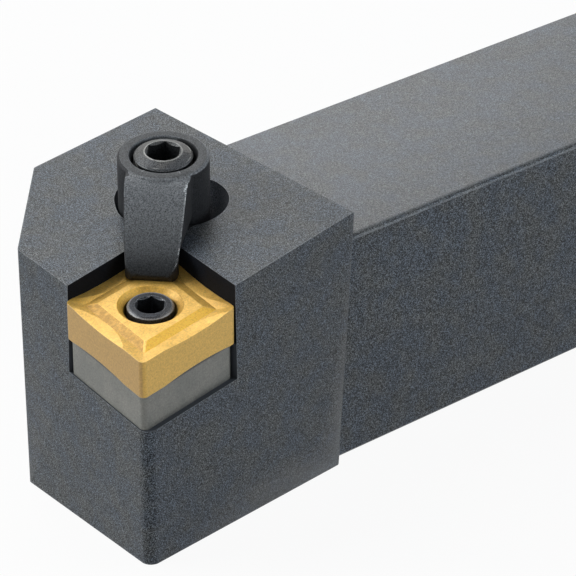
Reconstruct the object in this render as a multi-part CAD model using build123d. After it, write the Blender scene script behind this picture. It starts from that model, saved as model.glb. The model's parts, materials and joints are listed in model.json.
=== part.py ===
from build123d import *
import os
from math import cos, hypot, radians, sin, tan

# Indexable turning tool holder, right hand, for an 80 degree rhombic insert.
# Frame: +X runs along the shank towards the cutting end, +Y is the side that the
# insert's nose stands out from, +Z is up. X = 0 is at the shoulder, where the shank
# meets the head, Y = 0 the middle of the shank and Z = 0 its seating face.
# All sizes are millimetres and all angles degrees.

# ---------------------------------------------------------------- shank
shank_width = 38.1
shank_height = 38.1
overall_length = 152.4          # insert's nose to the shank's back end
shank_edge_chamfer = 0.8

# ---------------------------------------------------------------- head
head_length = 41.5              # shoulder to the front corner, along the base
corner_overhang = 4.8           # front corner beyond the shank's near side
far_side_step = 2.6             # head beyond the shank's far side
front_flank_width = 32.0        # front flank, from the corner to the heel cut
flank_lead = 5.0                # both flanks are set back this far from square
heel_cut_angle = 45.0
front_clearance = 3.3           # the flanks lean in towards the base
side_clearance = 3.9
head_height = 46.0              # top face above the base, at the shoulder's middle
head_stock_height = 57.5        # before its falling top is cut
shank_overlap = 10.4            # how far the shank's bar runs into the head
top_fall_forward = 6.0
top_fall_sideways = 2.9
shoulder_set_back = 0.55        # the shoulder's wall, behind X = 0
shoulder_lean = 0.85            # the wall's upper part leans forward this far
shoulder_lean_height = 3.1      # from this far below the head's top
nose_edge_radius = 1.6
far_edge_radius = 1.2
heel_edge_radius = 0.8

# ---------------------------------------------------------------- insert
inscribed_circle = 19.05
point_angle = 80.0
insert_thickness = 6.35
insert_hole = 7.94
insert_hole_sink = 9.8
nose_radius = 0.8
rake_inset = 2.1                # rake face, from the cutting edge to the groove's floor
island_inset = 3.6              # the groove's inner slope ends here
groove_corner_radius = 0.3      # the corners of the groove's floor and of its inner slope
groove_depth = 0.45
edge_dip = 0.45                 # how far each edge sags below its corners
edge_dip_span = 13.5
edge_dip_overrun = 1.0          # the cutter's width past the edge, and past the groove

# ---------------------------------------------------------------- seat
nose_beyond_corner_x = 2.9      # nose beyond the head's base corner
nose_beyond_corner_y = 2.75
cutting_height = 36.4           # nose above the base
rake_forward = 5.0              # the seat falls towards +X
rake_sideways = 5.8             # and towards +Y
seat_gap = 0.03                 # between the insert's flanks and the pocket's walls
pocket_corner_relief = 1.7      # radius of the relief at the pocket's inner corner
pocket_relief_inset = 1.0       # its centre in front of that corner
pocket_wall_length = 48.0       # long enough to run out of the head

# ---------------------------------------------------------------- shim
shim_inset = 0.45               # shim inside the insert's outline, all round
shim_thickness = 6.35
shim_corner_radius = 0.8
shim_hole_gap = 0.3             # radial, round the lock pin's flange

# ---------------------------------------------------------------- lock pin
pin_head_gap = 0.47             # radial, in the insert's hole
pin_head_below_top = 0.1
pin_cam_throw = 0.2             # pin head's centre off the pin's axis
pin_flange_diameter = 9.4
pin_flange_height = 4.2
pin_thread_diameter = 7.94
pin_thread_length = 13.0
pin_socket_flats = 3.97
pin_socket_depth = 3.6
pin_rim_chamfer = 0.35
pin_end_chamfer = 0.8

# ---------------------------------------------------------------- clamp
clamp_behind_insert = 8.4       # clamp screw's axis behind the insert's back corner
clamp_axis_offset = 0.3         # and off the bisector, towards the side flank
clamp_swing = 2.3               # the finger points this far round to the front flank
boss_diameter = 13.9
boss_height = 11.2              # boss top above the insert's top
heel_depth = 5.2                # boss foot below the insert's top
finger_root_front = 4.8         # at the screw's axis, from the middle to each side
finger_root_flank = 5.2
finger_tip_width = 7.4
finger_front_bulge = 0.6        # its side bulges out on the front flank's side
finger_end_to_hole = 5.8        # finger's end to the middle of the insert's hole
finger_clear = 0.8              # finger's underside above the head's top
finger_corner_radius = 1.6
finger_shoulder_inset = 0.6     # the slope starts this far inside the boss's rim
finger_brow_length = 3.1        # the slope passes this far back from the finger's end
finger_brow_height = 3.7        # at this height, and steepens to the end
shoulder_run = (1, -0.25)       # the slope's directions at its two ends
toe_run = (0.3, -1)
toe_length = 2.3
toe_height = 0.9                # the upright end of the finger
toe_corner = 0.25
toe_step = 0.3                  # how far the back of the toe leans
toe_throat = 1.0                # from the toe to the level underside
toe_gap = 0.05                  # toe above the insert
clamp_rim_chamfer = 0.35

# ---------------------------------------------------------------- clamp screw
screw_diameter = 9.525
screw_foot_diameter = 7.94
screw_top_below_boss = 0.3
screw_foot_length = 14.0
screw_end_chamfer = 0.55
socket_lead_in = 0.15           # how far a socket's lead-in cuts into its flats
drill_point_share = 0.95        # the drill that opens a socket, as a share of its flats
screw_socket_flats = 4.76
screw_socket_depth = 5.5
screw_mouth_flare = 0.4         # the bore's mouth opens this far beyond the bore, all round
screw_mouth_depth = 1.3

# ---------------------------------------------------------------- clamp's recess
recess_boss_gap = 0.4           # round hole, all round the boss
recess_slot_run = 3.1           # and a short slot across it, between its ends' centres
recess_slot_angle = 67.0        # from the finger's direction
recess_slot_back = 0.9          # slot's middle behind the screw's axis
recess_slot_side = 1.0          # and towards the side flank
recess_floor_gap = 0.3          # below the boss's foot

running_clearance = 0.05        # radial, where a screw turns in its thread
hole_bottom_gap = 2.0           # below the end of each screw

# ---------------------------------------------------------------- worked out
half_point = radians(point_angle / 2)
insert_side = inscribed_circle / sin(radians(point_angle))
half_long_diagonal = insert_side * cos(half_point)
pin_head_radius = insert_hole / 2 - pin_head_gap
clamp_to_hole = half_long_diagonal + clamp_behind_insert
finger_reach = clamp_to_hole - finger_end_to_hole
clamp_bore_radius = screw_diameter / 2 + running_clearance
recess_radius = boss_diameter / 2 + recess_boss_gap

corner_point = Vector(head_length, shank_width / 2 + corner_overhang)
far_side = -(shank_width / 2 + far_side_step)

nose_point = Vector(
    head_length + nose_beyond_corner_x,
    corner_point.Y + nose_beyond_corner_y,
    cutting_height,
)
shank_length = overall_length - nose_point.X

seat_normal = Vector(tan(radians(rake_forward)), tan(radians(rake_sideways)), 1).normalized()
inward = Vector(-1, -1, 0)
seat_inward = (inward - seat_normal * inward.dot(seat_normal)).normalized()

# Seat plane: origin on the nose, local x into the head along the insert's bisector,
# local z out of the insert's top. Local x = 0 to 2 * half_long_diagonal is the insert.
seat = Plane(origin=nose_point, x_dir=seat_inward, z_dir=seat_normal)
clamp_axis_x = half_long_diagonal + clamp_to_hole
# Clamp plane: origin where the clamp screw's axis meets the insert's top plane,
# local x along the finger.
clamp_plane = Plane(
    origin=seat.from_local_coords(Vector(clamp_axis_x, -clamp_axis_offset, 0)),
    x_dir=(seat_inward * -1).rotate(Axis((0, 0, 0), seat_normal), -clamp_swing),
    z_dir=seat_normal,
)
head_top = Plane(
    origin=(0, 0, head_height),
    z_dir=(tan(radians(top_fall_forward)), tan(radians(top_fall_sideways)), 1),
)


def crossing(first_point, first_angle, second_point, second_angle):
    """The point where two lines in the XY plane cross."""
    first = Vector(cos(radians(first_angle)), sin(radians(first_angle)))
    second = Vector(cos(radians(second_angle)), sin(radians(second_angle)))
    gap = second_point - first_point
    along = (gap.X * second.Y - gap.Y * second.X) / (first.X * second.Y - first.Y * second.X)
    return first_point + first * along


def head_outline(height):
    """The head's outline at a height, from its front corner round by its far side."""
    front_angle = -90 - flank_lead
    side_angle = 180 + flank_lead
    front_out = Vector(cos(radians(-flank_lead)), sin(radians(-flank_lead)))
    side_out = Vector(cos(radians(90 + flank_lead)), sin(radians(90 + flank_lead)))
    on_front = corner_point + front_out * (height * tan(radians(front_clearance)))
    on_side = corner_point + side_out * (height * tan(radians(side_clearance)))
    on_heel = corner_point + Vector(
        front_flank_width * cos(radians(front_angle)),
        front_flank_width * sin(radians(front_angle)),
    )
    on_far = Vector(0, far_side)
    on_shoulder = Vector(-shoulder_set_back, 0)
    heel_angle = -90 - heel_cut_angle
    return [
        crossing(on_front, front_angle, on_side, side_angle),
        crossing(on_front, front_angle, on_heel, heel_angle),
        crossing(on_heel, heel_angle, on_far, 180),
        crossing(on_far, 180, on_shoulder, 90),
        crossing(on_side, side_angle, on_shoulder, 90),
    ]


def nearest_edge(shape, x, y):
    """The upright edge of a shape whose middle lies nearest to a place in plan."""
    upright = [edge for edge in shape.edges() if edge.length > head_height / 2]
    return min(upright, key=lambda edge: hypot((edge @ 0.5).X - x, (edge @ 0.5).Y - y))


def head_blank():
    """The head before its seat and holes are cut: leaning flanks and a falling top."""
    tall = head_stock_height
    lower = make_face(Polyline(*[(p.X, p.Y, 0) for p in head_outline(0)], close=True))
    upper = make_face(Polyline(*[(p.X, p.Y, tall) for p in head_outline(tall)], close=True))
    blank = loft([lower, upper], ruled=True)
    middle = head_outline(tall / 2)
    radii = [nose_edge_radius, heel_edge_radius, heel_edge_radius, far_edge_radius, heel_edge_radius]
    for point, radius in zip(middle, radii):
        blank = fillet(nearest_edge(blank, point.X, point.Y), radius)
    blank = split(blank, bisect_by=head_top, keep=Keep.BOTTOM)
    lean = Plane(
        origin=(-shoulder_set_back, 0, head_height - shoulder_lean_height),
        z_dir=(-shoulder_lean_height, 0, shoulder_lean),
    )
    return split(blank, bisect_by=lean, keep=Keep.BOTTOM)


def shank_bar():
    """The square shank, run on into the head, with its long edges broken."""
    bar = Pos((shank_overlap - shank_length) / 2, 0, shank_height / 2) * Box(
        shank_length + shank_overlap, shank_width, shank_height
    )
    broken = bar.edges().filter_by(Axis.X) + bar.faces().sort_by(Axis.X)[0].edges()
    return chamfer(broken, shank_edge_chamfer)


def rhombus(circle, corner_radius, inset=0.0):
    """An insert-shaped face on the seat's plane, centred on the insert's hole."""
    side = (circle - 2 * inset) / sin(radians(point_angle))
    long_half = side * cos(half_point)
    short_half = side * sin(half_point)
    outline = Polyline(
        (-long_half, 0), (0, -short_half), (long_half, 0), (0, short_half), close=True
    )
    face = make_face(outline)
    return fillet(face.vertices(), corner_radius)


def chip_groove():
    """The cutter for one face's chip groove and for the sag of its four edges."""
    outer = rhombus(inscribed_circle, nose_radius)
    floor_outline = rhombus(inscribed_circle, groove_corner_radius, rake_inset)
    floor = Pos(0, 0, -groove_depth) * floor_outline
    island = rhombus(inscribed_circle, groove_corner_radius, island_inset)
    ring = loft([floor, outer]) - loft([floor, island])
    sag_radius = edge_dip_span**2 / (8 * edge_dip)
    sag_width = rake_inset + edge_dip_overrun
    edge_distance = inscribed_circle / 2
    for quarter in (-1, 1):
        for turn in (0, 180):
            across = quarter * (90 - point_angle / 2) + turn
            barrel = Rot(0, 0, across) * Pos(
                edge_distance + edge_dip_overrun - sag_width / 2, 0, sag_radius - edge_dip
            ) * Rot(0, 90, 0) * Cylinder(sag_radius, sag_width)
            ring += barrel
    return ring


def make_insert():
    """The indexable insert, the same on both faces."""
    body = extrude(rhombus(inscribed_circle, nose_radius), -insert_thickness)
    groove = chip_groove()
    body -= groove
    body -= Pos(0, 0, -insert_thickness) * Rot(180, 0, 0) * groove
    body -= Pos(0, 0, -insert_thickness / 2) * Cylinder(insert_hole / 2, insert_thickness)
    sink_depth = (insert_hole_sink - insert_hole) / 2
    sink = Cone(insert_hole / 2, insert_hole_sink / 2, sink_depth)
    body -= Pos(0, 0, -sink_depth / 2) * sink
    body -= Pos(0, 0, sink_depth / 2 - insert_thickness) * Rot(180, 0, 0) * sink
    return seat * Pos(half_long_diagonal, 0, 0) * body


def make_shim():
    """The carbide shim under the insert, a little smaller all round."""
    outline = rhombus(inscribed_circle, shim_corner_radius, shim_inset)
    body = extrude(Pos(0, 0, -insert_thickness) * outline, -shim_thickness)
    body -= Pos(0, 0, -insert_thickness - shim_thickness / 2) * Cylinder(
        pin_flange_diameter / 2 + shim_hole_gap, shim_thickness
    )
    return seat * Pos(half_long_diagonal, 0, 0) * body


def hex_socket(flats, depth):
    """The cutter for a hexagon socket that opens upward at z = 0, with a lead-in."""
    corner_radius = flats / 2 / cos(radians(30))
    socket = extrude(RegularPolygon(corner_radius, 6), -depth)
    lead_in = corner_radius - flats / 2 + socket_lead_in
    socket += Pos(0, 0, -lead_in / 2) * Cone(corner_radius - lead_in, corner_radius, lead_in)
    drill_radius = flats / 2 * drill_point_share
    point = drill_radius * tan(radians(30))
    socket += Pos(0, 0, -depth - point / 2) * Rot(180, 0, 0) * Cone(drill_radius, 0, point)
    return socket


floor_level = -insert_thickness - shim_thickness
pin_flange_top = floor_level + pin_flange_height


def make_lock_pin():
    """The cam pin: a hexagon-socket head set off-centre on a flange and a thread."""
    head_top_level = -pin_head_below_top
    head_length_up = head_top_level - pin_flange_top
    head = Pos(pin_cam_throw, 0, head_top_level - head_length_up / 2) * Cylinder(
        pin_head_radius, head_length_up
    )
    head = chamfer(head.edges().sort_by(Axis.Z)[-1], pin_rim_chamfer)
    flange = Pos(0, 0, pin_flange_top - pin_flange_height / 2) * Cylinder(
        pin_flange_diameter / 2, pin_flange_height
    )
    flange = chamfer(flange.edges().sort_by(Axis.Z)[-1], pin_rim_chamfer)
    thread = Pos(0, 0, floor_level - pin_thread_length / 2) * Cylinder(
        pin_thread_diameter / 2, pin_thread_length
    )
    thread = chamfer(thread.edges().sort_by(Axis.Z)[0], pin_end_chamfer)
    pin = head + flange + thread
    pin -= Pos(pin_cam_throw, 0, head_top_level) * hex_socket(pin_socket_flats, pin_socket_depth)
    return seat * Pos(half_long_diagonal, 0, 0) * pin


screw_top = boss_height - screw_top_below_boss
screw_step = -heel_depth - recess_floor_gap
screw_end = screw_step - screw_foot_length


def make_clamp_screw():
    """The differential screw: a thick thread in the clamp and a thin one in the head."""
    upper_length = screw_top + heel_depth
    upper = Pos(0, 0, screw_top - upper_length / 2) * Cylinder(screw_diameter / 2, upper_length)
    upper = chamfer(upper.edges().sort_by(Axis.Z)[-1], screw_end_chamfer)
    foot_length = -heel_depth - screw_end
    foot = Pos(0, 0, screw_end + foot_length / 2) * Cylinder(screw_foot_diameter / 2, foot_length)
    foot = chamfer(foot.edges().sort_by(Axis.Z)[0], screw_end_chamfer)
    screw = upper + foot
    screw -= Pos(0, 0, screw_top) * hex_socket(screw_socket_flats, screw_socket_depth)
    return clamp_plane * screw


def head_top_over_axis():
    """How far the head's top lies above the insert's top plane at the clamp screw."""
    start = clamp_plane.origin
    rise = (head_top.origin - start).dot(head_top.z_dir)
    return rise / seat_normal.dot(head_top.z_dir)


def finger_side_profile():
    """The clamp's finger seen from its side: one rounded slope down to an upright toe."""
    under = head_top_over_axis() + finger_clear
    crown = boss_height - clamp_rim_chamfer
    toe_back = finger_reach - toe_length
    shoulder = (boss_diameter / 2 - finger_shoulder_inset, crown)
    brow = (finger_reach - finger_brow_length, finger_brow_height)
    toe_top = (finger_reach, toe_gap + toe_height)
    slope = Spline(shoulder, brow, toe_top, tangents=[shoulder_run, toe_run])
    rest = Polyline(
        toe_top,
        (finger_reach - toe_corner, toe_gap),
        (toe_back, toe_gap),
        (toe_back - toe_step, under - toe_throat / 2),
        (toe_back - toe_throat, under),
        (0, under),
        (0, crown),
        shoulder,
    )
    return make_face([slope, rest])


def finger_plan():
    """The finger seen from above: it tapers, and one side bends to the front flank."""
    front = finger_root_front
    flank = finger_root_flank
    tip = finger_tip_width / 2
    middle = finger_reach / 2
    front_middle = (front + tip) / 2 + finger_front_bulge
    front_side = ThreePointArc((0, -front), (middle, -front_middle), (finger_reach, -tip))
    rest = Polyline((finger_reach, -tip), (finger_reach, tip), (0, flank), (0, -front))
    finger = make_face([front_side, rest])
    corners = finger.vertices().sort_by(Axis.X)[-2:]
    return fillet(corners, finger_corner_radius)


def make_clamp():
    """The forged bridge clamp: its boss stands in the recess, its toe on the insert."""
    side = extrude(Plane.XZ * finger_side_profile(), boss_diameter, both=True)
    finger = side & extrude(finger_plan(), boss_height)
    tall = boss_height + heel_depth
    boss = Pos(0, 0, tall / 2 - heel_depth) * Cylinder(boss_diameter / 2, tall)
    boss = chamfer(boss.edges().sort_by(Axis.Z)[-1], clamp_rim_chamfer)
    body = boss + finger
    body -= Cylinder(clamp_bore_radius, 4 * boss_height)
    body -= Pos(0, 0, boss_height - screw_mouth_depth / 2) * Cone(
        clamp_bore_radius, clamp_bore_radius + screw_mouth_flare, screw_mouth_depth
    )
    return clamp_plane * body


def seat_pocket():
    """The cutter for the insert's pocket: two walls, a floor and a relieved corner."""
    back = half_long_diagonal + seat_gap / sin(half_point)
    reach_x = pocket_wall_length * cos(half_point)
    reach_y = pocket_wall_length * sin(half_point)
    outline = Polyline(
        (back, 0), (back - reach_x, reach_y), (back - reach_x, -reach_y), close=True
    )
    height = 2 * head_height
    walls = extrude(Pos(0, 0, floor_level) * make_face(outline), height)
    relief = Pos(back - pocket_relief_inset, 0, floor_level + height / 2) * Cylinder(
        pocket_corner_relief, height
    )
    return seat * Pos(half_long_diagonal, 0, 0) * (walls + relief)


def clamp_recess():
    """The cutter for the recess that the clamp's boss stands in."""
    floor = -heel_depth - recess_floor_gap
    slot = Rot(0, 0, recess_slot_angle) * SlotCenterToCenter(recess_slot_run, 2 * recess_radius)
    outline = Circle(recess_radius) + (
        Pos(-recess_slot_back, recess_slot_side) * slot
    )
    return clamp_plane * extrude(Pos(0, 0, floor) * outline, head_height)


def threaded_holes():
    """The cutters for the holes that take the lock pin and the clamp screw."""
    pin_depth = pin_thread_length + hole_bottom_gap
    pin_hole = Pos(half_long_diagonal, 0, floor_level - pin_depth / 2) * Cylinder(
        pin_thread_diameter / 2 + running_clearance, pin_depth
    )
    screw_depth = screw_foot_length + hole_bottom_gap
    screw_hole = Pos(0, 0, screw_step - screw_depth / 2) * Cylinder(
        screw_foot_diameter / 2 + running_clearance, screw_depth
    )
    return seat * pin_hole + clamp_plane * screw_hole


def make_holder_body():
    """The holder, one piece of steel: shank, head, seat and holes."""
    body = head_blank() + shank_bar()
    body -= seat_pocket()
    body -= clamp_recess()
    body -= threaded_holes()
    return body


pieces = {
    "holder_body": make_holder_body(),
    "shim_seat": make_shim(),
    "insert": make_insert(),
    "lock_pin": make_lock_pin(),
    "clamp": make_clamp(),
    "clamp_screw": make_clamp_screw(),
}

os.makedirs("parts", exist_ok=True)
for name, piece in pieces.items():
    export_step(piece, f"parts/{name}.step")
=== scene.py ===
import json
import logging
import math
from collections.abc import Mapping
from dataclasses import dataclass, replace
from enum import Enum

import bmesh
import bpy
from mathutils import Matrix, Vector


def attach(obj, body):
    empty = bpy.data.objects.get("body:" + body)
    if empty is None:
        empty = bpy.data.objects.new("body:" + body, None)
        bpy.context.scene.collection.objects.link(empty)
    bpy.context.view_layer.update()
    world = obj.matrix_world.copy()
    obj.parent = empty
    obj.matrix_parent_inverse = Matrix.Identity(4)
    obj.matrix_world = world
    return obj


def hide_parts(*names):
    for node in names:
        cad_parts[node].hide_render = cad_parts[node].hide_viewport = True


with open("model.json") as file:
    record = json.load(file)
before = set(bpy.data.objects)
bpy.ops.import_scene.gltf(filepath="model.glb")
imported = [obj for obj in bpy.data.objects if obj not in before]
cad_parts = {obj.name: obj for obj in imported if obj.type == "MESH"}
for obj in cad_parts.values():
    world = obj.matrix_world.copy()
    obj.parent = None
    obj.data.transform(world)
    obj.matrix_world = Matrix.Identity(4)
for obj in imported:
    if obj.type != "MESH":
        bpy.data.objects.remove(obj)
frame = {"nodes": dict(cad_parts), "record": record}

# A turning tool holder: steel shank and head, carbide shim, coated insert, cam lock pin,
# bridge clamp and differential screw. Lengths are millimetres until a mesh is made, and
# metres from there on.

MM = 0.001
EDGE_WEIGHT = "bevel_weight_edge"
# Where a slow noise passes from one tone to the other.
PATCHY = (0.35, 0.65)
# How far a rounded normal turns from the flat one at the start and the middle of a pale edge,
# which is partly wear and partly painted highlight.
EDGE_TURN = (0.01, 0.22)
EDGE_SAMPLES = 6
# Half of the insert's nose angle: its flanks and the pocket's walls face this far aside.
HALF_NOSE = 40.0
# Vertices nearer than this are one.
WELD = 0.002
# How much a face's area counts when faces are shaded level.
LEVEL_WEIGHT = 100
# A thread's steps in one turn, and how much of its pitch the ridge fills.
TURN_STEPS = 48
RIDGE_SHARE = 0.98
LOG = logging.getLogger("tool_holder")
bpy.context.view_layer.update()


# ---------- shader graphs
class Signal:
    """One output socket of a shader graph, with arithmetic on it."""

    def __init__(self, graph: "Graph", socket: bpy.types.NodeSocket) -> None:
        """Keeps the graph and the socket together."""
        self.graph = graph
        self.socket = socket

    def _math(self, operation: str, *values: "Signal | float") -> "Signal":
        """Adds one Math node.

        Args:
            operation: The Math node's operation.
            values: Its inputs, in order.

        Returns:
            The node's output.
        """
        return self.graph.add("ShaderNodeMath", {"operation": operation}, dict(enumerate(values)))

    def __add__(self, other: "Signal | float") -> "Signal":
        """Sum."""
        return self._math("ADD", self, other)

    def __radd__(self, other: float) -> "Signal":
        """Sum with a number on the left."""
        return self._math("ADD", other, self)

    def __sub__(self, other: "Signal | float") -> "Signal":
        """Difference."""
        return self._math("SUBTRACT", self, other)

    def __rsub__(self, other: float) -> "Signal":
        """Difference with a number on the left."""
        return self._math("SUBTRACT", other, self)

    def __mul__(self, other: "Signal | float") -> "Signal":
        """Product."""
        return self._math("MULTIPLY", self, other)

    def __rmul__(self, other: float) -> "Signal":
        """Product with a number on the left."""
        return self._math("MULTIPLY", other, self)

    def __truediv__(self, other: "Signal | float") -> "Signal":
        """Quotient."""
        return self._math("DIVIDE", self, other)

    def clamp(self) -> "Signal":
        """The value held between 0 and 1."""
        return self.graph.add("ShaderNodeClamp", {}, {"Value": self})

    def root(self) -> "Signal":
        """The square root."""
        return self._math("SQRT", self)

    def absolute(self) -> "Signal":
        """The value without its sign."""
        return self._math("ABSOLUTE", self)

    def highest(self, other: "Signal | float") -> "Signal":
        """The larger of two values."""
        return self._math("MAXIMUM", self, other)

    def ramp(self, low: float, high: float) -> "Signal":
        """A smooth rise from 0 at low to 1 at high.

        Args:
            low: Where the result is 0.
            high: Where the result is 1.

        Returns:
            The smoothed value.
        """
        sockets = {"Value": self, "From Min": low, "From Max": high}
        return self.graph.add("ShaderNodeMapRange", {"interpolation_type": "SMOOTHSTEP"}, sockets)


Value = Signal | float | tuple[float, ...]


@dataclass(frozen=True)
class Grain:
    """A noise pattern: its features in a millimetre, its octaves and how strong they are."""

    per_mm: float
    octaves: float = 3.0
    strength: float = 0.5


class Graph:
    """The node tree of a material or of the surroundings, built through one method."""

    def __init__(self, owner: bpy.types.Material | bpy.types.World) -> None:
        """Starts an empty tree for its owner.

        Args:
            owner: The material or the world.
        """
        self.owner = owner
        owner.use_nodes = True
        self.nodes = owner.node_tree.nodes
        self.links = owner.node_tree.links
        self.nodes.clear()

    @classmethod
    def of_material(cls, name: str) -> "Graph":
        """A new material's empty tree."""
        return cls(bpy.data.materials.new(name))

    def add(
        self,
        kind: str,
        settings: Mapping[str, object],
        sockets: Mapping[int | str, Value],
        output: int | str = 0,
    ) -> Signal:
        """Adds a node, sets it up and joins its inputs.

        Args:
            kind: The node's type.
            settings: Its properties, set before its sockets.
            sockets: Values or links by input name or place.
            output: The wanted output's name or place.

        Returns:
            The wanted output.
        """
        node = self.nodes.new(kind)
        for key, value in settings.items():
            setattr(node, key, value)
        for key, value in sockets.items():
            socket = node.inputs[key]
            if isinstance(value, Signal):
                self.links.new(value.socket, socket)
            else:
                socket.default_value = value
        return Signal(self, node.outputs[output] if node.outputs else None)

    def place(self) -> Signal:
        """The point's place in the row frame, in metres."""
        return self.add("ShaderNodeTexCoord", {}, {}, "Object")

    def noise(self, grain: Grain) -> Signal:
        """A noise value about 0.5.

        Args:
            grain: The noise pattern.

        Returns:
            The noise value.
        """
        sockets = {
            "Vector": self.place(),
            "Scale": grain.per_mm / MM,
            "Detail": grain.octaves,
            "Roughness": grain.strength,
        }
        return self.add("ShaderNodeTexNoise", {}, sockets, "Fac")

    def mix(self, share: Value, first: Value, second: Value, blend: str = "MIX") -> Signal:
        """Mixes two colours.

        Args:
            share: How much of the second.
            first: The colour at 0.
            second: The colour at 1.
            blend: The Mix node's blend type.

        Returns:
            The mixed colour.
        """
        settings = {"data_type": "RGBA", "blend_type": blend}
        return self.add("ShaderNodeMix", settings, {0: share, 6: first, 7: second}, 2)

    def dot(self, first: Value, second: Value) -> Signal:
        """The dot product of two vectors."""
        settings = {"operation": "DOT_PRODUCT"}
        return self.add("ShaderNodeVectorMath", settings, {0: first, 1: second}, "Value")

    def edge_wear_and_highlight(self, width: float) -> Signal:
        """A value that rises from 0 on a face to about 1 at its convex and concave edges.

        Args:
            width: How far from an edge it starts, in millimetres.

        Returns:
            The edge value.
        """
        rounded = self.add("ShaderNodeBevel", {"samples": EDGE_SAMPLES}, {"Radius": width * MM})
        true_normal = self.add("ShaderNodeNewGeometry", {}, {}, "True Normal")
        return (1.0 - self.dot(rounded, true_normal)).ramp(*EDGE_TURN)

    def facing(self, direction: Vector) -> Signal:
        """How far the surface faces a direction, from -1 to 1.

        Args:
            direction: The direction in the row frame.

        Returns:
            The value.
        """
        normal = self.add("ShaderNodeNewGeometry", {}, {}, "Normal")
        return self.dot(normal, tuple(direction.normalized()))

    def along(self, origin: Vector, direction: Vector) -> Signal:
        """How far the point lies from a place along a direction, in millimetres.

        Args:
            origin: The place, in metres.
            direction: The direction.

        Returns:
            The distance.
        """
        subtract = {"operation": "SUBTRACT"}
        offset = self.add("ShaderNodeVectorMath", subtract, {0: self.place(), 1: tuple(origin)})
        return self.dot(offset, tuple(direction)) / MM

    def radius(self, axes: "Axes") -> Signal:
        """How far the point lies from a frame's upright axis, in millimetres.

        Args:
            axes: The frame.

        Returns:
            The distance.
        """
        first = self.along(axes.origin, axes.across)
        second = self.along(axes.origin, axes.aside)
        return (first * first + second * second).root()

    def speckled(self, body: Value, change: Signal, darkest: float) -> Signal:
        """A colour that is lighter in places and darker in others.

        Args:
            body: The colour.
            change: How much lighter it is, about 0.
            darkest: The least share of the colour that is left.

        Returns:
            The changed colour.
        """
        level = (1.0 + change).highest(darkest)
        shares = {"Red": level, "Green": level, "Blue": level}
        grey = self.add("ShaderNodeCombineColor", {}, shares)
        return self.mix(1.0, body, grey, "MULTIPLY")

    def bump(self, height: Signal, depth: float, strength: float = 1.0) -> Signal:
        """A Bump node.

        Args:
            height: The height value, from 0 to 1.
            depth: How deep a height of 1 is, in millimetres.
            strength: The node's strength.

        Returns:
            The bumped normal.
        """
        sockets = {"Strength": strength, "Distance": depth * MM, "Height": height}
        return self.add("ShaderNodeBump", {}, sockets, "Normal")

    def finish(self, **sockets: Value) -> bpy.types.Material:
        """Ends the graph in a Principled shader.

        Args:
            sockets: The shader's inputs, with spaces written as underscores.

        Returns:
            The finished material.
        """
        named = {key.replace("_", " "): value for key, value in sockets.items()}
        shader = self.add("ShaderNodeBsdfPrincipled", {}, named, "BSDF")
        self.add("ShaderNodeOutputMaterial", {}, {"Surface": shader})
        return self.owner

    def backdrop(self) -> Signal:
        """The rays that see the backdrop white.

        Returns:
            1 for the camera's, glossy and transmission rays, 0 for the others.
        """
        rays = [
            self.add("ShaderNodeLightPath", {}, {}, name)
            for name in ("Is Camera Ray", "Is Glossy Ray", "Is Transmission Ray")
        ]
        return (rays[0] + rays[1] + rays[2]).clamp()


Colour = tuple[float, float, float, float]


def shade(red: float, green: float, blue: float) -> Colour:
    """A linear colour from display values between 0 and 255.

    Args:
        red: The red value.
        green: The green value.
        blue: The blue value.

    Returns:
        The colour, opaque.
    """

    def linear(value: float) -> float:
        """One channel, linear."""
        share = value / 255
        return share / 12.92 if share <= 0.04045 else ((share + 0.055) / 1.055) ** 2.4

    return (linear(red), linear(green), linear(blue), 1.0)


# ---------- the seat's frame
@dataclass(frozen=True)
class Axes:
    """A local frame of a joint: its own millimetres, and metres in the scene."""

    origin: Vector
    across: Vector
    aside: Vector
    up: Vector

    @classmethod
    def on_joint(cls, joint: str, across: Vector) -> "Axes":
        """The frame whose third axis is a joint's axis.

        Args:
            joint: The joint's name.
            across: A direction that the first axis follows as near as it can.

        Returns:
            The frame.
        """
        row = next(row for row in frame["record"]["behaviour"]["joints"] if row["name"] == joint)
        up = Vector(row["axis"]).normalized()
        first = (across - up * across.dot(up)).normalized()
        return cls(Vector(row["pos_m"]), first, up.cross(first), up)

    def matrix(self) -> Matrix:
        """The matrix from this frame's millimetres to the scene's metres."""
        turn = Matrix((self.across, self.aside, self.up)).transposed().to_4x4()
        return Matrix.Translation(self.origin) @ turn @ Matrix.Scale(MM, 4)

    def local(self, place: Vector) -> Vector:
        """A place in the scene in this frame's millimetres."""
        return self.matrix().inverted() @ place

    def near(self, place: Vector, reach: float) -> bool:
        """Whether a place in the scene lies within a reach of the upright axis."""
        local = self.local(place)
        return math.hypot(local.x, local.y) < reach


INSERT = Axes.on_joint("lock_pin_turn", Vector((-1, -1, 0)))
SCREW = Axes.on_joint("clamp_screw_turn", Vector((-1, -1, 0)))


def seat_walls() -> list[Vector]:
    """The directions in which the pocket's two walls face, left and right.

    Returns:
        The two directions.
    """
    angle = math.radians(HALF_NOSE)
    forward = INSERT.across * -math.sin(angle)
    return [forward + INSERT.aside * (side * math.cos(angle)) for side in (1, -1)]


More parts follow.
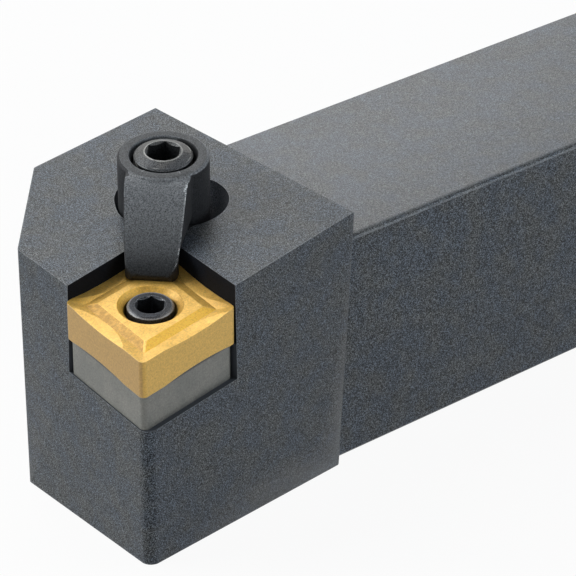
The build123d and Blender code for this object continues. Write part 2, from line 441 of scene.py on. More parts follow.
# ---------- finishes
@dataclass(frozen=True)
class SocketMouth:
    """Where a hexagon socket opens, in millimetres: its rim is worn and its walls painted dark as
    shade.
    """

    axes: Axes
    rim_radius: float
    wall_radius: float
    rim_width: float = 0.16
    wall_fade: float = 0.1
    # Painted shade: how far the socket's walls are mixed towards a near-black tone.
    wall_shade: float = 0.6
    dark: Colour = (0.002, 0.002, 0.003, 1.0)
    wall_rise: tuple[float, float] = (0.35, 0.15)
    edge_rise: tuple[float, float] = (0.02, 0.3)
    rim_rise: tuple[float, float] = (0.3, 0.6)

    def dress(
        self, graph: Graph, grain: Signal, colour: Signal, wear: Signal
    ) -> tuple[Signal, Signal]:
        """Paints shade onto the socket's walls and wears its rim.

        Args:
            graph: The finish's graph.
            grain: Its grain.
            colour: Its colour.
            wear: How far its edges are worn and painted pale as highlight.

        Returns:
            The colour and the wear.
        """
        upward = graph.facing(self.axes.up)
        radius = graph.radius(self.axes)
        inside = radius.ramp(self.wall_radius, self.wall_radius - self.wall_fade)
        # Painted shade: the walls inside the socket are darkened towards near black.
        walls = self.wall_shade * (inside * upward.ramp(*self.wall_rise))
        rim = (radius - self.rim_radius).absolute().ramp(self.rim_width, 0.0)
        worn = wear * upward.ramp(*self.edge_rise) + rim * upward.ramp(*self.rim_rise) * grain
        return graph.mix(walls, colour, self.dark), worn


@dataclass(frozen=True)
class BlackenedSteel:
    """Black-oxide steel: blue-grey and satin, with a fine grain and edges paler by wear and
    painted highlight.
    """

    base: Colour = shade(66, 70, 74)
    cool: Colour = shade(62, 69, 78)
    warm: Colour = shade(71, 72, 71)
    worn: Colour = shade(165, 168, 170)
    tint: float = 0.6
    grain: Grain = Grain(5.6, 1.0, 0.8)
    patches: Grain = Grain(0.22, 4.0, 0.6)
    grain_strength: float = 11.0
    patch_strength: float = 0.2
    darkest: float = 0.15
    edge_width: float = 0.3
    edge_wear: float = 0.3
    metallic: float = 0.3
    roughness: float = 0.42
    roughness_grain: float = 0.2
    roughness_patches: float = 0.1
    specular: float = 0.2
    bump_depth: float = 0.03
    bump_strength: float = 0.6
    # A painted tone that the colour passes to below the insert's underside, and the levels where
    # it does.
    deep: Colour | None = None
    deep_levels: tuple[float, float] = (-6.4, -6.9)
    socket: SocketMouth | None = None

    def material(self, name: str) -> bpy.types.Material:
        """The finish as a material.

        Args:
            name: The material's name.

        Returns:
            The material.
        """
        graph = Graph.of_material(name)
        grain = graph.noise(self.grain)
        patches = graph.noise(self.patches)
        tones = graph.mix(patches.ramp(*PATCHY), self.cool, self.warm)
        change = self.grain_strength * (grain - 0.5) + self.patch_strength * (patches - 0.5)
        body = graph.mix(self.tint, self.base, tones)
        speckled = graph.speckled(body, change, self.darkest)
        # Paler edges: partly wear, partly painted highlight.
        wear = graph.edge_wear_and_highlight(self.edge_width) * self.edge_wear * (patches + grain)
        if self.socket:
            speckled, wear = self.socket.dress(graph, grain, speckled, wear)
        colour = graph.mix(wear.clamp(), speckled, self.worn)
        # Painted light and shade: below the insert's underside the colour passes to the lower
        # band's tone.
        if self.deep:
            low = graph.along(INSERT.origin, INSERT.up).ramp(*self.deep_levels)
            colour = graph.mix(low, colour, self.deep)
        uneven = self.roughness_grain * (grain - 0.5) + self.roughness_patches * (patches - 0.5)
        return graph.finish(
            Base_Color=colour,
            Metallic=self.metallic,
            Roughness=self.roughness + uneven,
            Specular_IOR_Level=self.specular,
            Normal=graph.bump(grain, self.bump_depth, self.bump_strength),
        )


@dataclass(frozen=True)
class ForgedSteel:
    """Forged, blackened steel: coarser, painted shade on its sides and tip, flecks worn bright.
    """

    # Painted light and shade: darkest on the sides, the slope from dark at the finger's tip to
    # light towards the boss, and the boss's level top between the two.
    dark: Colour = shade(42, 44, 46)
    light: Colour = shade(109, 112, 115)
    crown: Colour = shade(74, 76, 78)
    side: Colour = shade(43, 44, 46)
    bright: Colour = shade(225, 228, 228)
    scale: Grain = Grain(2.6, 3.0, 0.6)
    grain: Grain = Grain(5.0, 2.0, 0.8)
    flecks: Grain = Grain(1.8, 3.0, 0.8)
    scale_strength: float = 0.8
    grain_strength: float = 3.6
    darkest: float = 0.15
    edge_width: float = 0.4
    edge_wear: float = 0.05
    fleck_wear: float = 1.8
    fleck_levels: tuple[float, float] = (0.43, 0.56)
    # The finger, in the insert's frame: where the painted shade on its slope gives way to the lit
    # tone.
    slope_span: tuple[float, float] = (6.0, 13.5)
    # The boss's level top and the flecked edge, in the screw's frame.
    boss_edge: tuple[float, float] = (7.0, 6.6)
    fleck_start: tuple[float, float] = (-6.3, -7.5)
    fleck_side: tuple[float, float] = (-1.5, -2.5)
    # How far up or aside a surface faces where one tone passes to the next; the tones of the
    # sides, slope and level top are painted light and shade.
    level_rise: tuple[float, float] = (0.93, 0.99)
    slope_rise: tuple[float, float] = (0.1, 0.5)
    slope_turn: tuple[float, float] = (0.45, 0.2)
    edge_rise: tuple[float, float] = (0.03, 0.25)
    fleck_rise: tuple[float, float] = (0.2, 0.4)
    metallic: float = 0.25
    roughness: float = 0.52
    roughness_scale: float = 0.25
    specular: float = 0.15
    bump_grain: float = 0.5
    bump_depth: float = 0.08
    bump_strength: float = 0.7

    def material(self, name: str) -> bpy.types.Material:
        """The finish as a material.

        Args:
            name: The material's name.

        Returns:
            The material.
        """
        graph = Graph.of_material(name)
        grain = graph.noise(self.grain)
        scale = graph.noise(self.scale)
        upward = graph.facing(INSERT.up)
        body = self.tones(graph, upward)
        change = self.grain_strength * (grain - 0.5) + self.scale_strength * (scale - 0.5)
        speckled = graph.speckled(body, change, self.darkest)
        edges = graph.edge_wear_and_highlight(self.edge_width)
        finger = graph.along(SCREW.origin, SCREW.across).ramp(*self.fleck_start)
        side = graph.along(SCREW.origin, SCREW.aside).ramp(*self.fleck_side)
        rim = edges * finger * upward.ramp(*self.fleck_rise) * side
        flecks = graph.noise(self.flecks).ramp(*self.fleck_levels)
        # Slightly paler edges: partly wear, partly painted highlight.
        soft = edges * self.edge_wear * upward.ramp(*self.edge_rise) * (scale + grain)
        wear = (soft + self.fleck_wear * rim * flecks).clamp()
        return graph.finish(
            Base_Color=graph.mix(wear, speckled, self.bright),
            Metallic=self.metallic,
            Specular_IOR_Level=self.specular,
            Roughness=self.roughness + self.roughness_scale * (scale - 0.5),
            Normal=graph.bump(
                self.bump_grain * grain + scale, self.bump_depth, self.bump_strength
            ),
        )

    def tones(self, graph: Graph, upward: Signal) -> Signal:
        """The steel's colour in painted light and shade: its sides, its slope and its level top.

        Args:
            graph: The finish's graph.
            upward: How far the surface faces up.

        Returns:
            The colour.
        """
        # Painted shade: the slope darkens towards the finger's tip and the sides are darker
        # still.
        along = graph.along(INSERT.origin, INSERT.across)
        slope = graph.mix(along.ramp(*self.slope_span), self.dark, self.light)
        boss = upward.ramp(*self.level_rise) * graph.radius(SCREW).ramp(*self.boss_edge)
        top = graph.mix(boss, slope, self.crown)
        turned = graph.facing(INSERT.aside).ramp(*self.slope_turn)
        return graph.mix(upward.ramp(*self.slope_rise) * turned, self.side, top)


@dataclass(frozen=True)
class Ground:
    """What the ground finishes share: fine marks and edges slightly paler by wear and painted
    highlight.
    """

    worn: Colour
    grain: Grain
    grain_strength: float
    edge_width: float
    edge_wear: float
    metallic: float
    roughness: float
    roughness_grain: float
    darkest: float = 0.2
    bump_depth: float = 0.015
    bump_strength: float = 0.5

    def tones(self, graph: Graph) -> Signal:
        """The surface's plain colour."""
        raise NotImplementedError

    def shaded(self, graph: Graph, speckled: Signal) -> Signal:
        """The speckled colour with what darkens it."""
        return speckled

    def material(self, name: str) -> bpy.types.Material:
        """The finish as a material.

        Args:
            name: The material's name.

        Returns:
            The material.
        """
        graph = Graph.of_material(name)
        grain = graph.noise(self.grain)
        change = self.grain_strength * (grain - 0.5)
        speckled = graph.speckled(self.tones(graph), change, self.darkest)
        # Paler edges: partly wear, partly painted highlight.
        wear = self.edge_wear * graph.edge_wear_and_highlight(self.edge_width)
        return graph.finish(
            Base_Color=graph.mix(wear, self.shaded(graph, speckled), self.worn),
            Metallic=self.metallic,
            Roughness=self.roughness + self.roughness_grain * (grain - 0.5),
            Normal=graph.bump(grain, self.bump_depth, self.bump_strength),
        )


@dataclass(frozen=True)
class GroundCarbide(Ground):
    """Ground, uncoated carbide: mid grey, with fine grinding marks and a painted seam shadow."""

    base: Colour = shade(118, 117, 111)
    dark: Colour = shade(110, 110, 105)
    worn: Colour = shade(190, 190, 185)
    # Painted shadow: the near black that the shim's top, under the insert, is mixed towards.
    seam_shadow: Colour = (0.01, 0.01, 0.01, 1.0)
    grain: Grain = Grain(3.6, 3.0, 0.7)
    patches: Grain = Grain(0.35, 3.0, 0.5)
    grain_strength: float = 1.3
    seam_levels: tuple[float, float] = (-6.95, -6.45)
    seam_shade: float = 0.75
    edge_width: float = 0.2
    edge_wear: float = 0.25
    metallic: float = 0.35
    roughness: float = 0.5
    roughness_grain: float = 0.15

    def tones(self, graph: Graph) -> Signal:
        """The carbide's plain colour."""
        return graph.mix(graph.noise(self.patches).ramp(*PATCHY), self.dark, self.base)

    def shaded(self, graph: Graph, speckled: Signal) -> Signal:
        """The speckled colour, with painted shadow at the seam under the insert."""
        seam = graph.along(INSERT.origin, INSERT.up).ramp(*self.seam_levels)
        return graph.mix(self.seam_shade * seam, speckled, self.seam_shadow)


@dataclass(frozen=True)
class GoldNitride(Ground):
    """Gold nitride on carbide: satin yellow, a browner chip groove, painted light and shade."""

    bright: Colour = shade(253, 203, 105)
    plain: Colour = shade(239, 190, 92)
    shaded_flank: Colour = shade(174, 139, 80)
    lit_flank: Colour = shade(207, 166, 82)
    stained_shaded_brown: Colour = shade(164, 122, 44)
    lit_yellow: Colour = shade(255, 200, 76)
    worn: Colour = shade(252, 232, 170)
    grain: Grain = Grain(3.4, 3.0, 0.7)
    patches: Grain = Grain(0.7, 4.0, 0.6)
    blotches: Grain = Grain(1.5, 3.0, 0.6)
    blotch_levels: tuple[float, float] = (0.3, 0.65)
    blotch_least: float = 0.6
    grain_strength: float = 1.1
    # How far up or aside a surface faces where one tone passes to the next: the flanks and groove
    # walls take painted lit and shaded tones.
    top_rise: tuple[float, float] = (0.3, 0.8)
    flank_turn: tuple[float, float] = (0.2, -0.2)
    wall_turn: tuple[float, float] = (0.1, 0.24)
    wall_most: tuple[float, float] = (0.995, 0.96)
    wall_least: tuple[float, float] = (0.6, 0.8)
    edge_width: float = 0.14
    edge_wear: float = 0.4
    metallic: float = 0.3
    roughness: float = 0.42
    roughness_grain: float = 0.2

    def tones(self, graph: Graph) -> Signal:
        """The coating's colour: faces, painted lit and shaded flanks, a brown groove and a lit
        yellow one.

        Args:
            graph: The finish's graph.

        Returns:
            The colour.
        """
        top = graph.mix(graph.noise(self.patches).ramp(*PATCHY), self.plain, self.bright)
        # Painted light and shade: each flank takes its own tone, one lighter than the other.
        turned = graph.facing(INSERT.aside).ramp(*self.flank_turn)
        sides = graph.mix(turned, self.shaded_flank, self.lit_flank)
        upward = graph.facing(INSERT.up)
        toned = graph.mix(upward.ramp(*self.top_rise), sides, top)
        sunk = upward.ramp(*self.wall_most) * upward.ramp(*self.wall_least)
        # One groove wall is brown, partly stain and partly painted shade; the other is painted
        # lit yellow.
        left, right = (graph.facing(wall).ramp(*self.wall_turn) * sunk for wall in seat_walls())
        blotches = graph.noise(self.blotches).ramp(*self.blotch_levels)
        patchy = self.blotch_least + (1 - self.blotch_least) * blotches
        return graph.mix((left * patchy).clamp(), graph.mix(right, toned, self.lit_yellow), self.stained_shaded_brown)


Finish = BlackenedSteel | ForgedSteel | Ground
MATT_STEEL = BlackenedSteel(
    grain_strength=3.0, edge_wear=0.1, metallic=0.0, roughness=0.7, specular=0.1
)
# Painted shade: the pocket's walls, pin hole and corner are near-black; below the insert's
# underside they pass to a lighter grey band, also painted.
POCKET_SHADE_STEEL = replace(
    MATT_STEEL,
    base=shade(17, 19, 23),
    cool=shade(14, 18, 25),
    warm=shade(20, 20, 21),
    deep=shade(84, 87, 92),
    worn=shade(90, 92, 95),
    specular=0.05,
)
# Painted light: the recess round the screw is given a much paler grey than the holder's steel.
RECESS_LIT_STEEL = replace(
    MATT_STEEL,
    base=shade(120, 123, 128),
    cool=shade(116, 121, 129),
    warm=shade(123, 123, 125),
)
SCREW_STEEL = BlackenedSteel(
    base=shade(76, 77, 78),
    cool=shade(72, 75, 79),
    warm=shade(82, 80, 76),
    worn=shade(190, 190, 186),
    grain_strength=4.0,
    edge_width=0.2,
    edge_wear=1.0,
    socket=SocketMouth(SCREW, rim_radius=2.86, wall_radius=3.0),
)
PIN_STEEL = BlackenedSteel(
    base=shade(58, 60, 64),
    cool=shade(54, 58, 65),
    warm=shade(62, 62, 62),
    worn=shade(182, 184, 188),
    grain_strength=4.0,
    edge_width=0.3,
    edge_wear=1.4,
    socket=SocketMouth(INSERT, rim_radius=3.3, wall_radius=2.5, rim_width=0.3),
)


# ---------- meshes
@dataclass(frozen=True)
class Rounding:
    """How a piece's edges are broken, in millimetres and degrees."""

    width: float = 0.15
    segments: int = 2
    least_angle: float = 24.0
    crease_angle: float = 12.0
    flat_angle: float = 0.02


def plain_piece(name: str, mesh: bpy.types.Mesh) -> bpy.types.Object:
    """Links a mesh into the scene as an object at the origin.

    Args:
        name: The object's and the mesh's name.
        mesh: The mesh.

    Returns:
        The object.
    """
    mesh.name = name
    piece = bpy.data.objects.new(name, mesh)
    bpy.context.scene.collection.objects.link(piece)
    return piece


def settled(piece: bpy.types.Object) -> bpy.types.Object:
    """Turns a piece's live modifiers into its mesh.

    Args:
        piece: The object, with its modifiers.

    Returns:
        The same object with a plain mesh.
    """
    evaluated = piece.evaluated_get(bpy.context.evaluated_depsgraph_get())
    mesh = bpy.data.meshes.new_from_object(evaluated)
    old = piece.data
    piece.modifiers.clear()
    piece.data = mesh
    bpy.data.meshes.remove(old)
    mesh.name = piece.name
    return piece


def merged_copy(node: str, name: str, flat_angle: float = 0.0) -> bpy.types.Mesh:
    """Copies a CAD node's mesh with its facets merged.

    Args:
        node: The CAD node's name.
        name: The new mesh's name.
        flat_angle: Facets that differ by less than this become one face, in degrees;
            at 0 they stay.

    Returns:
        The new mesh.
    """
    work = bmesh.new()
    work.from_mesh(frame["nodes"][node].data)
    bmesh.ops.remove_doubles(work, verts=work.verts, dist=WELD * MM)
    if flat_angle:
        angle = math.radians(flat_angle)
        bmesh.ops.dissolve_limit(work, angle_limit=angle, verts=work.verts, edges=work.edges)
    mesh = bpy.data.meshes.new(name)
    work.to_mesh(mesh)
    work.free()
    return mesh


def outward(mesh: bpy.types.Mesh) -> None:
    """Turns every closed shell of a mesh to face outwards.

    Args:
        mesh: The mesh, which is changed in place.
    """
    work = bmesh.new()
    work.from_mesh(mesh)
    bmesh.ops.recalc_face_normals(work, faces=work.faces)
    work.to_mesh(mesh)
    work.free()


def level_faces(piece: bpy.types.Object) -> None:
    """Shades a piece's large faces level, so that only its small ones bend the light.

    Args:
        piece: The piece, which is given the modifier.
    """
    weigh = piece.modifiers.new("level_faces", "WEIGHTED_NORMAL")
    weigh.mode = "FACE_AREA_WITH_ANGLE"
    weigh.weight = LEVEL_WEIGHT
    weigh.keep_sharp = True


def rounded(piece: bpy.types.Object, rounding: Rounding) -> bpy.types.Object:
    """Breaks a piece's marked edges.

    Args:
        piece: The piece.
        rounding: The edge breaks.

    Returns:
        The same piece.
    """
    piece.data.shade_smooth()
    piece.data.set_sharp_from_angle(angle=math.radians(rounding.crease_angle))
    bevel = piece.modifiers.new("edge_break", "BEVEL")
    bevel.width = rounding.width * MM
    bevel.segments = rounding.segments
    bevel.limit_method = "WEIGHT"
    bevel.use_clamp_overlap = False
    level_faces(piece)
    return settled(piece)


@dataclass
class Dressed:
    """One piece that stands for a CAD node."""

    node: str
    name: str
    body: str
    finish: Finish
    rounding: Rounding = Rounding()

    def __post_init__(self) -> None:
        """Makes the finish's material."""
        self.coating = self.finish.material(self.name + "_finish")

    def shape(self) -> bpy.types.Object:
        """The CAD node's shape with its edges broken.

        Returns:
            The piece, not yet dressed.
        """
        mesh = merged_copy(self.node, self.name, self.rounding.flat_angle)
        self.mark(mesh)
        return rounded(plain_piece(self.name, mesh), self.rounding)

    def free(self, place: Vector) -> bool:
        """Whether an edge at a place has room for a break."""
        return True

    def mark(self, mesh: bpy.types.Mesh) -> None:
        """Marks the sharp convex edges that are to be broken.

        Args:
            mesh: The mesh, whose edges are given a weight.
        """
        work = bmesh.new()
        work.from_mesh(mesh)
        least = math.radians(self.rounding.least_angle)
        marked = [
            edge.index
            for edge in work.edges
            if edge.is_convex
            and edge.calc_face_angle(0.0) > least
            and all(self.free(vertex.co) for vertex in edge.verts)
        ]
        work.free()
        weights = mesh.attributes.new(EDGE_WEIGHT, "FLOAT", "EDGE")
        for index in marked:
            weights.data[index].value = 1.0

    def dress(self, piece: bpy.types.Object) -> None:
        """Gives the piece its finish."""
        piece.data.materials.clear()
        piece.data.materials.append(self.coating)

    def build(self) -> bpy.types.Object:
        """Makes the piece, dresses it and hands it to its body.

        Returns:
            The finished piece.
        """
        piece = self.shape()
        self.dress(piece)
        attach(piece, self.body)
        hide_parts(self.node)
        return piece


# ---------- holder
class Zone(Enum):
    """The parts of the holder's surface, by material slot."""

    OUTSIDE = 0
    POCKET = 1
    RECESS = 2


@dataclass
class Holder(Dressed):
    """The holder: its flanks in one finish; its pocket (painted shade) and recess (painted light)
    in two others.
    """

    node: str = "holder_body"
    name: str = "holder_steel"
    body: str = "holder"
    finish: Finish = BlackenedSteel()
    pocket: Finish = POCKET_SHADE_STEEL
    recess: Finish = RECESS_LIT_STEEL
    # How near a face's direction is to the seat's (level), to square with it (upright), to a
    # pocket wall's and to the round wall's.
    level_match: float = 0.9999
    upright_match: float = 0.01
    wall_match: float = 0.999
    round_match: float = 0.9
    # Floors lie below this level. The walls of the recess, the pin's hole and the pocket's
    # corner lie within these distances.
    floor_level: float = -2.0
    recess_reach: float = 10.6
    hole_reach: float = 6.0
    corner_reach: float = 3.0
    corner_place: float = 13.8

    def shape(self) -> bpy.types.Object:
        """The CAD node's shape with level faces shaded level up to their rounded edges.

        Returns:
            The piece, not yet dressed.
        """
        piece = plain_piece(self.name, merged_copy(self.node, self.name))
        piece.data.shade_smooth()
        piece.data.set_sharp_from_angle(angle=math.radians(self.rounding.least_angle))
        level_faces(piece)
        return settled(piece)

    def dress(self, piece: bpy.types.Object) -> None:
        """Gives each zone its finish.

        Args:
            piece: The holder.
        """
        super().dress(piece)
        piece.data.materials.append(self.pocket.material(self.name + "_pocket"))
        piece.data.materials.append(self.recess.material(self.name + "_recess"))
        for face in piece.data.polygons:
            face.material_index = self.zone(face.center, face.normal).value

    def zone(self, place: Vector, normal: Vector) -> Zone:
        """The zone that a face belongs to.

        Args:
            place: The face's middle, in metres.
            normal: Its direction.

        Returns:
            The zone.
        """
        rise = normal.dot(INSERT.up)
        recessed = SCREW.near(place, self.recess_reach)
        if rise > self.level_match and INSERT.local(place).z < self.floor_level:
            return Zone.RECESS if recessed else Zone.POCKET
        if abs(rise) > self.upright_match:
            return Zone.OUTSIDE
        away = place - SCREW.origin
        inward = -(away - SCREW.up * away.dot(SCREW.up)).normalized()
        if recessed and normal.dot(inward) > self.round_match:
            return Zone.RECESS
        if any(normal.dot(wall) > self.wall_match for wall in seat_walls()):
            return Zone.POCKET
        corner = place - INSERT.across * self.corner_place * MM
        hole = INSERT.near(place, self.hole_reach)
        return Zone.POCKET if hole or INSERT.near(corner, self.corner_reach) else Zone.OUTSIDE


# ---------- seat
@dataclass
class Shim(Dressed):
    """The carbide shim under the insert."""

    node: str = "shim_seat"
    name: str = "carbide_shim"
    body: str = "holder"
    finish: Finish = GroundCarbide()
    rounding: Rounding = Rounding(width=0.05)


@dataclass
class Insert(Dressed):
    """The insert, whose groove has slight edges that stay crisp."""

    node: str = "insert"
    name: str = "coated_insert"
    body: str = "holder"
    finish: Finish = GoldNitride()
    rounding: Rounding = Rounding(width=0.04, least_angle=14.0, crease_angle=4.0)


@dataclass
class Clamp(Dressed):
    """The clamp: its convex edges are broken, but not where its finger leaves the boss."""

    node: str = "clamp"
    name: str = "forged_clamp"
    body: str = "bridge"
    finish: Finish = ForgedSteel()
    rounding: Rounding = Rounding(0.12, least_angle=35.0, crease_angle=35.0, flat_angle=0.0)
    blend: tuple[float, float] = (-10.0, -4.5)
    blend_low: float = 9.3
    toe_high: float = 1.2

    def free(self, place: Vector) -> bool:
        """Whether an edge at a place has room for a break.

        Args:
            place: The place, in metres.

        Returns:
            Whether it has.
        """
        local = SCREW.local(place)
        blended = self.blend[0] < local.x < self.blend[1] and local.z > self.blend_low
        return local.z > self.toe_high and not blended


# ---------- screws
class Turn(Enum):
    """Which way a thread winds: a right-hand one climbs as it turns counterclockwise."""

    RIGHT = True
    LEFT = False


@dataclass(frozen=True)
class Thread:
    """One threaded length of a screw, in millimetres from the frame's origin."""

    low: float
    high: float
    radius: float
    pitch: float
    turn: Turn = Turn.RIGHT
    depth_share: float = 0.55

    @property
    def depth(self) -> float:
        """The thread's depth."""
        return self.depth_share * self.pitch

    @property
    def sockets(self) -> dict[str, float | bool]:
        """The thread's values for the node group.

        Returns:
            The values by input name.
        """
        return {
            "Radius": self.radius,
            "Depth": self.depth,
            "Pitch": self.pitch,
            "Low": self.low,
            "Length": self.high - self.low,
            "Right Hand": self.turn.value,
        }


def thread_nodes() -> bpy.types.NodeTree:
    """The node group that winds one ridge round a core and joins it on.

    Returns:
        The node group.
    """
    tree = bpy.data.node_groups.new("wound_thread", "GeometryNodeTree")
    floats = dict.fromkeys(("Radius", "Depth", "Pitch", "Low", "Length"), "Float")
    inputs = {"Core": "Geometry", **floats, "Right Hand": "Bool", "Finish": "Material"}
    for name, kind in inputs.items():
        tree.interface.new_socket(name, in_out="INPUT", socket_type="NodeSocket" + kind)
    tree.interface.new_socket("Piece", in_out="OUTPUT", socket_type="NodeSocketGeometry")
    nodes, links = tree.nodes, tree.links

    def add(kind: str, settings: Mapping[str, object], sockets: Mapping) -> bpy.types.Node:
        """Adds one node, sets it up and joins its inputs.

        Args:
            kind: The node's type.
            settings: Its properties, set before its sockets.
            sockets: Values or links by input name or place. A name stands for the first
                input of that name that is in use.

        Returns:
            The node.
        """
        node = nodes.new(kind)
        for key, value in settings.items():
            setattr(node, key, value)
        for key, value in sockets.items():
            named = (item for item in node.inputs if item.name == key and item.enabled)
            socket = node.inputs[key] if isinstance(key, int) else next(named)
            if isinstance(value, bpy.types.NodeSocket):
                links.new(value, socket)
            else:
                socket.default_value = value
        return node

    def maths(operation: str, first: object, second: object) -> bpy.types.NodeSocket:
        """One Math node's output."""
        return add("ShaderNodeMath", {"operation": operation}, {0: first, 1: second}).outputs[0]

    given = add("NodeGroupInput", {}, {}).outputs
    root = maths("SUBTRACT", given["Radius"], given["Depth"])
    path = {
        "Resolution": TURN_STEPS,
        "Rotations": maths("DIVIDE", given["Length"], given["Pitch"]),
        "Start Radius": root,
        "End Radius": root,
        "Height": given["Length"],
        "Reverse": given["Right Hand"],
    }
    spiral = add("GeometryNodeCurveSpiral", {}, path)
    upright = add("GeometryNodeSetCurveNormal", {"mode": "Z_UP"}, {"Curve": spiral.outputs[0]})
    kite = {
        "Width": maths("MULTIPLY", given["Pitch"], RIDGE_SHARE),
        "Bottom Height": given["Depth"],
        "Top Height": given["Depth"],
    }
    ridge = add("GeometryNodeCurvePrimitiveQuadrilateral", {"mode": "KITE"}, kite)
    sweep = {"Curve": upright.outputs[0], "Profile Curve": ridge.outputs[0], "Fill Caps": True}
    wound = add("GeometryNodeCurveToMesh", {}, sweep)
    lift = add("ShaderNodeCombineXYZ", {}, {"Z": given["Low"]})
    shift = {"Geometry": wound.outputs[0], "Translation": lift.outputs[0]}
    placed = add("GeometryNodeTransform", {}, shift)
    joined = add("GeometryNodeJoinGeometry", {}, {})
    links.new(placed.outputs[0], joined.inputs[0])
    links.new(given["Core"], joined.inputs[0])
    real = add("GeometryNodeRealizeInstances", {}, {"Geometry": joined.outputs[0]})
    coat = {"Geometry": real.outputs[0], "Material": given["Finish"]}
    dressed = add("GeometryNodeSetMaterial", {}, coat)
    add("NodeGroupOutput", {}, {"Piece": dressed.outputs[0]})
    return tree


@dataclass(frozen=True)
class Crown:
    """How a screw's end rises to its socket's rim, in millimetres."""

    level: float = 10.9
    reach: float = 0.5
    rim_radius: float = 2.8
    edge_radius: float = 4.2125
    edge_rise: float = 0.35
    rim_rise: float = 0.6

    def lift(self, vertex: bpy.types.MeshVertex) -> None:
        """Raises a vertex of the screw's end.

        Args:
            vertex: The vertex, in the screw's frame.
        """
        if vertex.co.z < self.level - self.reach:
            return
        radius = math.hypot(vertex.co.x, vertex.co.y)
        share = (self.edge_radius - radius) / (self.edge_radius - self.rim_radius)
        vertex.co.z += self.edge_rise + self.rim_rise * min(1.0, max(0.0, share))


@dataclass
class Threaded(Dressed):
    """A screw: the CAD node's shape with real threads cut into its plain lengths."""

    rounding: Rounding = Rounding(width=0.04, crease_angle=24.0)
    axes: Axes = INSERT
    threads: tuple[Thread, ...] = ()
    crown: Crown | None = None
    seat: float | None = None
    seat_gap: float = 0.015
    run_out: float = 0.7
    radius_match: float = 0.02

    def shape(self) -> bpy.types.Object:
        """The screw with its threads.

        Returns:
            The screw.
        """
        mesh = merged_copy(self.node, self.name, self.rounding.flat_angle)
        mesh.transform(self.axes.matrix().inverted())
        for vertex in mesh.vertices:
            self.sink(vertex)
            if self.crown:
                self.crown.lift(vertex)
            if self.seat is not None and abs(vertex.co.z - self.seat) < self.seat_gap:
                vertex.co.z += self.seat_gap
        piece = plain_piece(self.name, mesh)
        self.wind(piece)
        settled(piece)
        outward(piece.data)
        piece.data.transform(self.axes.matrix())
        self.mark(piece.data)
        return rounded(piece, self.rounding)

    def wind(self, piece: bpy.types.Object) -> None:
        """Gives the screw a modifier for each of its threads.

        Args:
            piece: The screw, in its own frame.
        """
        tree = thread_nodes()
        identifiers = {item.name: item.identifier for item in tree.interface.items_tree}
        for count, thread in enumerate(self.threads):
            winding = piece.modifiers.new(f"thread_{count}", "NODES")
            winding.node_group = tree
            for name, value in {**thread.sockets, "Finish": self.coating}.items():
                winding[identifiers[name]] = value

    def sink(self, vertex: bpy.types.MeshVertex) -> None:
        """Moves a vertex of a plain length in to the root of its thread.

        Args:
            vertex: The vertex, in the screw's frame.
        """
        radius = math.hypot(vertex.co.x, vertex.co.y)
        for thread in self.threads:
            within = thread.low - self.run_out < vertex.co.z < thread.high + self.run_out
            if within and abs(radius - thread.radius) < self.radius_match:
                share = (thread.radius - thread.depth) / radius
                vertex.co.x *= share
                vertex.co.y *= share
                return


@dataclass
class LockPin(Threaded):
    """The cam lock pin, with a thread on its tail and its flange just off its shoulder."""

    node: str = "lock_pin"
    name: str = "cam_pin_steel"
    body: str = "cam_pin"
    finish: Finish = PIN_STEEL
    threads: tuple[Thread, ...] = (Thread(low=-25.2, high=-12.9, radius=3.97, pitch=1.27),)
    seat: float | None = -12.7


@dataclass
class ClampScrew(Threaded):
    """The differential screw: a left-hand thread in the clamp, a right-hand one below."""

    node: str = "clamp_screw"
    name: str = "double_screw"
    body: str = "screw"
    finish: Finish = SCREW_STEEL
    axes: Axes = SCREW
    threads: tuple[Thread, ...] = (
        Thread(low=-5.0, high=10.0, radius=4.7625, pitch=1.058, turn=Turn.LEFT),
        Thread(low=-18.8, high=-5.8, radius=3.97, pitch=1.058),
    )
    crown: Crown | None = Crown()


# ---------- studio
def towards(azimuth: float, elevation: float) -> Vector:
    """The direction of a place round the tool.

    Args:
        azimuth: Its angle from +X, in degrees.
        elevation: Its angle above the floor, in degrees.

    Returns:
        The direction, of length 1.
    """
    turn, rise = math.radians(azimuth), math.radians(elevation)
    flat = math.cos(rise)
    return Vector((flat * math.cos(turn), flat * math.sin(turn), math.sin(rise)))


@dataclass(frozen=True)
class Lamp:
    """A square soft lamp that hangs round the head: degrees, metres and watts."""

    name: str
    azimuth: float
    elevation: float
    reach: float
    size: float
    watts: float
    colour: tuple[float, float, float] = (1.0, 1.0, 1.0)

    def hang(self, target: Vector) -> None:
        """Makes the lamp and aims it.

        Args:
            target: The place that it lights.
        """
        away = towards(self.azimuth, self.elevation)
        data = bpy.data.lights.new(self.name, "AREA")
        data.size = self.size
        data.energy = self.watts
        data.color = self.colour
        lamp = bpy.data.objects.new(self.name, data)
        bpy.context.scene.collection.objects.link(lamp)
        lamp.location = target + away * self.reach
        lamp.rotation_euler = away.to_track_quat("Z", "Y").to_euler()


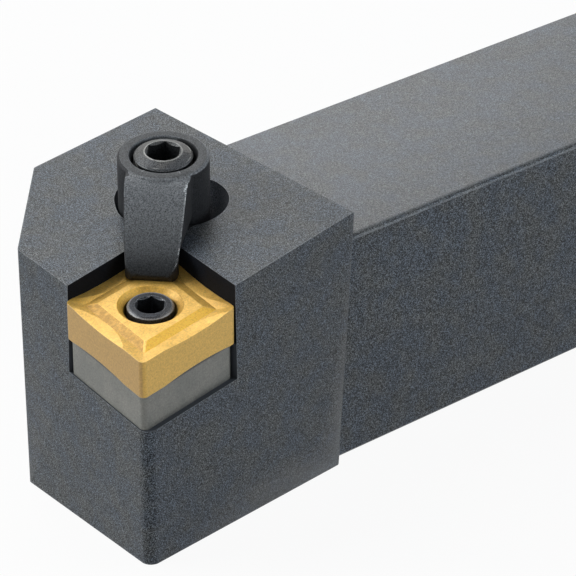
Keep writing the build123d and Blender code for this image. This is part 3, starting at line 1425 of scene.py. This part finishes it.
@dataclass
class Studio:
    """A white floor and surroundings with soft lamps."""

    floor_size: float = 8.0
    floor_drop: float = 0.02
    floor_glow: float = 0.94
    paint: Colour = (0.8, 0.8, 0.8, 1.0)
    white: Colour = (1.0, 1.0, 1.0, 1.0)
    sky: Colour = (0.72, 0.84, 1.0, 1.0)
    ambient: float = 0.16
    target: tuple[float, float, float] = (0.02, 0.0, 0.03)
    lamps: tuple[Lamp, ...] = (
        Lamp("behind", 228.0, 23.0, 1.3, 0.5, 2.1),
        Lamp("top_left", 262.0, 55.0, 1.2, 0.8, 6.5, (1.0, 0.98, 0.95)),
        Lamp("left", -38.0, 22.0, 1.1, 0.7, 9.2, (0.96, 0.99, 1.0)),
        Lamp("right", 126.0, 11.0, 1.2, 0.7, 6.3, (0.86, 0.93, 1.0)),
    )

    def floor(self) -> None:
        """The pale floor, which keeps the object's shadow."""
        half = self.floor_size / 2
        corners = [(-half, -half), (half, -half), (half, half), (-half, half)]
        mesh = bpy.data.meshes.new("floor")
        mesh.from_pydata([(x, y, -self.floor_drop * MM) for x, y in corners], [], [(0, 1, 2, 3)])
        ground = plain_piece("floor", mesh)
        graph = Graph.of_material("floor_paint")
        paint = graph.add("ShaderNodeBsdfDiffuse", {}, {"Color": self.paint})
        glow = graph.add("ShaderNodeEmission", {}, {"Color": self.white, "Strength": 1.0})
        share = graph.backdrop() * self.floor_glow
        both = graph.add("ShaderNodeMixShader", {}, {0: share, 1: paint, 2: glow})
        graph.add("ShaderNodeOutputMaterial", {}, {"Surface": both})
        mesh.materials.append(graph.owner)

    def surroundings(self) -> None:
        """White all round for the camera and for reflections, softer for light."""
        world = bpy.data.worlds.new("surroundings")
        bpy.context.scene.world = world
        graph = Graph(world)
        white = {"Color": self.white, "Strength": 1.0}
        sky = {"Color": self.sky, "Strength": self.ambient}
        seen = graph.add("ShaderNodeBackground", {}, white)
        light = graph.add("ShaderNodeBackground", {}, sky)
        both = graph.add("ShaderNodeMixShader", {}, {0: graph.backdrop(), 1: light, 2: seen})
        graph.add("ShaderNodeOutputWorld", {}, {"Surface": both})

    def build(self) -> None:
        """Builds the floor, the surroundings and the lamps."""
        self.floor()
        self.surroundings()
        for lamp in self.lamps:
            lamp.hang(Vector(self.target))


@dataclass(frozen=True)
class Viewpoint:
    """Where the camera stands and how it looks, in metres, degrees and millimetres of lens."""

    place: tuple[float, float, float] = (0.33434, 0.37719, 0.28105)
    azimuth: float = 47.762
    elevation: float = 27.704
    roll: float = -0.058
    lens: float = 226.38
    sensor: float = 36.0
    shift_x: float = -0.00245
    shift_y: float = 0.0674
    nearest: float = 0.01
    farthest: float = 50.0

    def build(self) -> None:
        """Makes the camera and gives it to the scene."""
        back = towards(self.azimuth, self.elevation)
        level = Vector((0, 0, 1)).cross(back).normalized()
        upright = back.cross(level)
        roll = math.radians(self.roll)
        right = level * math.cos(roll) + upright * math.sin(roll)
        up = back.cross(right)
        data = bpy.data.cameras.new("viewpoint")
        data.lens = self.lens
        data.sensor_width = self.sensor
        data.shift_x = self.shift_x
        data.shift_y = self.shift_y
        data.clip_start = self.nearest
        data.clip_end = self.farthest
        camera = bpy.data.objects.new("viewpoint", data)
        bpy.context.scene.collection.objects.link(camera)
        axes = Matrix((right, up, back)).transposed().to_4x4()
        camera.matrix_world = Matrix.Translation(Vector(self.place)) @ axes
        bpy.context.scene.camera = camera


def main() -> None:
    """Builds the tool, piece by piece, and the room it stands in."""
    logging.basicConfig(level=logging.INFO, format="%(message)s")
    bpy.context.scene.view_settings.view_transform = "Standard"
    Viewpoint().build()
    Studio().build()
    for kind in (Holder, Shim, Insert, LockPin, Clamp, ClampScrew):
        piece = kind().build()
        LOG.info("%s: %d faces", piece.name, len(piece.data.polygons))


if __name__ == "__main__":
    main()
